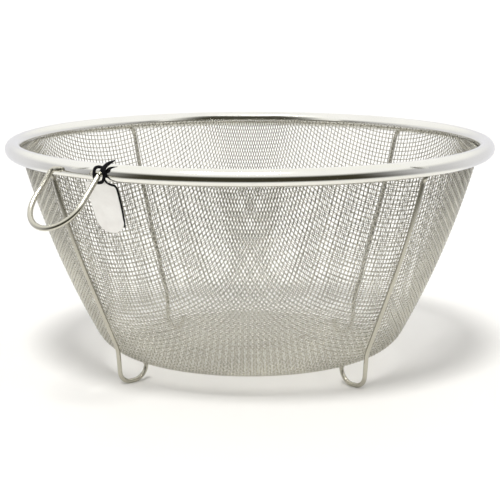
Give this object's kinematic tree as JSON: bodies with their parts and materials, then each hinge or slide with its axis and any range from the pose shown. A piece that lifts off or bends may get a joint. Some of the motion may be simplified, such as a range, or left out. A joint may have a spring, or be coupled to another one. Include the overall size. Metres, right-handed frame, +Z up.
{
  "type": "footed wire-mesh strainer basket",
  "caption": "Round woven-wire strainer bowl in a pipe rim, on bent wire feet, with a wire hanging ring and a small blank tag on a string.",
  "frame": {"origin": "on the surface it stands on, under the middle of the bowl", "axes": "+Z up along the bowl's axis; -Y is the front, seen at the picture's azimuth; +X to the right of that view"},
  "size_m": [0.27, 0.27, 0.1298],
  "materials": {
    "rim_steel": "polished stainless steel pipe",
    "mesh_steel": "satin stainless steel wire, woven",
    "leg_steel": "satin drawn stainless steel wire",
    "ring_steel": "bright drawn stainless steel wire",
    "elastic_string": "matt braided elastic",
    "tag_card": "matt coated card, blank"
  },
  "bodies": {
    "strainer": {"rim_pipe": "rim_steel", "mesh_bowl": "mesh_steel", "leg_front_left": "leg_steel", "leg_front_right": "leg_steel", "leg_back_right": "leg_steel", "leg_back_left": "leg_steel", "hanging_ring": "ring_steel", "string_hitch": "elastic_string"},
    "tag": {"tag_string": "elastic_string", "hang_tag": "tag_card"}
  },
  "joints": [
    {"name": "tag_swing", "type": "hinge", "parent": "strainer", "child": "tag", "pos_m": [-0.07035, -0.11709, 0.1253], "axis": [-0.8572, 0.515, 0], "range_deg": [0, 55]}
  ]
}
